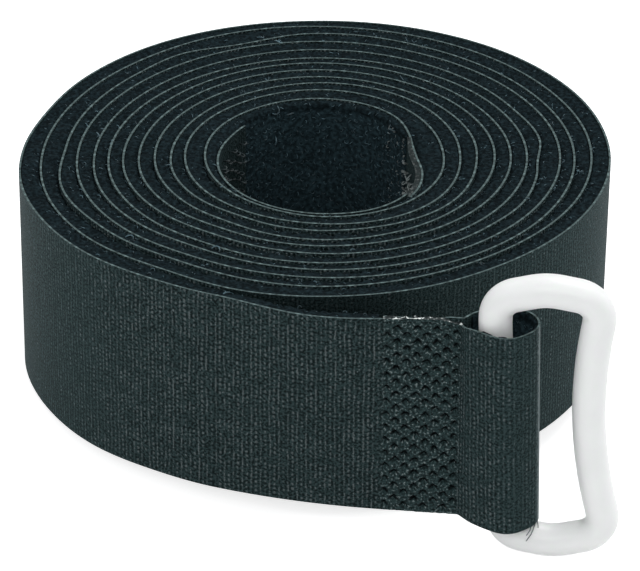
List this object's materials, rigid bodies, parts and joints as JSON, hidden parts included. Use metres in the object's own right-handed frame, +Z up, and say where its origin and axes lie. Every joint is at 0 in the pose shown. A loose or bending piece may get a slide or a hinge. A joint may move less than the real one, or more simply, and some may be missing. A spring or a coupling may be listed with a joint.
{
  "type": "hook and loop tape roll",
  "caption": "Woven hook and loop strap wound into a flat roll, standing on its edge, with its outer end folded and welded round a swinging plastic ring.",
  "frame": {"origin": "on the table, under the middle of the whole strap", "axes": "+Z up out of the open end of the roll, +Y away from the side where the outer end and its ring are, +X towards the way that the outer end points"},
  "size_m": [0.0696, 0.081, 0.0356],
  "materials": {
    "woven_web": "matte black-green weave",
    "loop_pile": "matte dark pile",
    "hooks": "stiff dark filament",
    "ring_plastic": "smooth white, slightly translucent"
  },
  "bodies": {
    "wound_strap": {"loop_tape": "woven_web", "loop_pile": "loop_pile", "hook_tape": "woven_web", "hook_field": "hooks"},
    "pull_ring": {"ring": "ring_plastic"}
  },
  "joints": [
    {"name": "ring_swing", "type": "hinge", "parent": "wound_strap", "child": "pull_ring", "pos_m": [0.02022, -0.0362, 0.0173], "axis": [-0.083, 0.0578, 0.9949], "range_deg": [-165, 85]}
  ]
}
